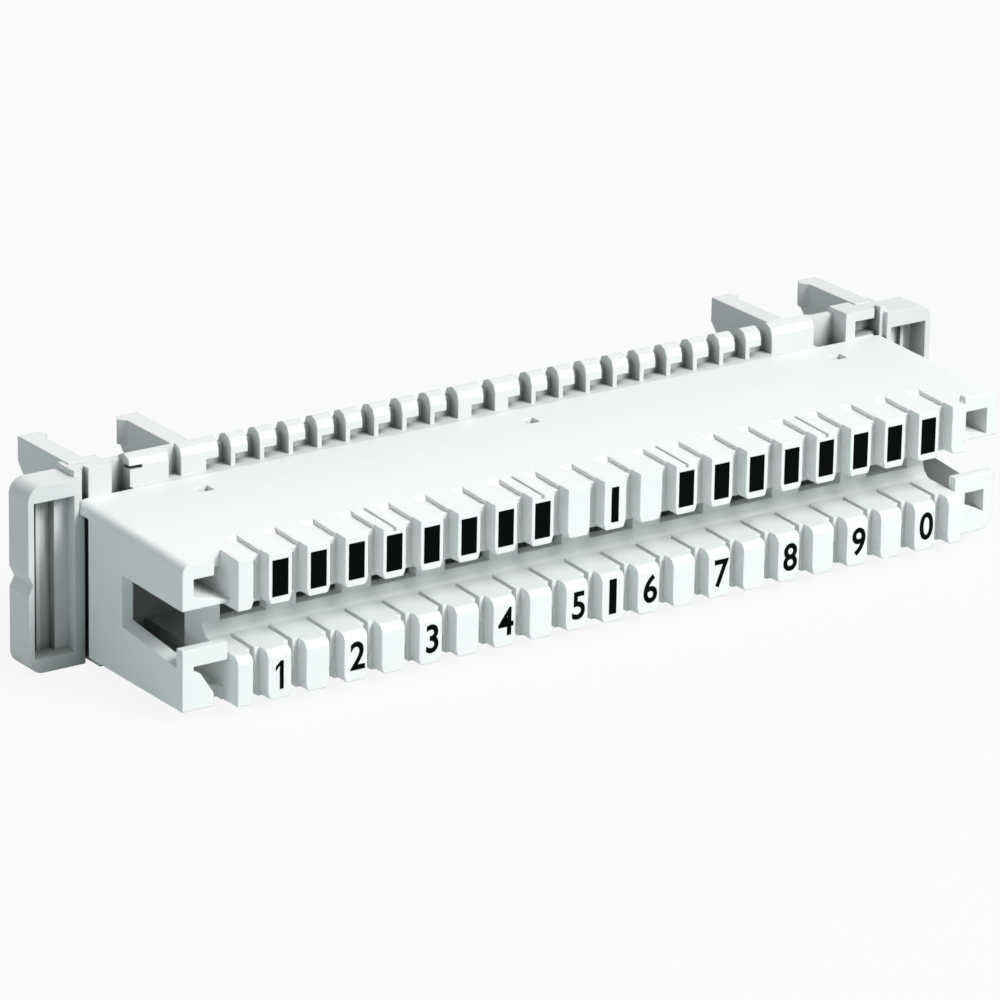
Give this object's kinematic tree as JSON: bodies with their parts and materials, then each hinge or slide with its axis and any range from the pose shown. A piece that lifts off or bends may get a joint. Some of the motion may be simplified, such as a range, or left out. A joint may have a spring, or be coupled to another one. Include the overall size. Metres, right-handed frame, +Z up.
{
  "type": "terminal block",
  "caption": "White telecom terminal strip with two combs of insulation-displacement contacts, a test-plug slot between them, wire-guide posts, end wings and rear clips for a mounting frame.",
  "frame": {"origin": "centre of the bounding box in X and Y, at the lowest face of the rear base", "axes": "X along the strip, +Y to the back towards the clips, -Y the wiring face, +Z up"},
  "size_m": [0.124, 0.0364, 0.0225],
  "materials": {
    "housing": "smooth moulded, slightly satin",
    "base": "smooth moulded, slightly satin",
    "contact": "silver-plated, stamped"
  },
  "bodies": {
    "root": {"front_housing": "housing", "rear_base": "base", "upper_contact_01": "contact", "upper_contact_02": "contact", "upper_contact_03": "contact", "upper_contact_04": "contact", "upper_contact_05": "contact", "upper_contact_06": "contact", "upper_contact_07": "contact", "upper_contact_08": "contact", "upper_contact_09": "contact", "upper_contact_10": "contact", "upper_contact_11": "contact", "upper_contact_12": "contact", "upper_contact_13": "contact", "upper_contact_14": "contact", "upper_contact_15": "contact", "upper_contact_16": "contact", "upper_contact_17": "contact", "upper_contact_18": "contact", "upper_contact_19": "contact", "upper_contact_20": "contact", "lower_contact_01": "contact", "lower_contact_02": "contact", "lower_contact_03": "contact", "lower_contact_04": "contact", "lower_contact_05": "contact", "lower_contact_06": "contact", "lower_contact_07": "contact", "lower_contact_08": "contact", "lower_contact_09": "contact", "lower_contact_10": "contact", "lower_contact_11": "contact", "lower_contact_12": "contact", "lower_contact_13": "contact", "lower_contact_14": "contact", "lower_contact_15": "contact", "lower_contact_16": "contact", "lower_contact_17": "contact", "lower_contact_18": "contact", "lower_contact_19": "contact", "lower_contact_20": "contact"}
  },
  "joints": []
}
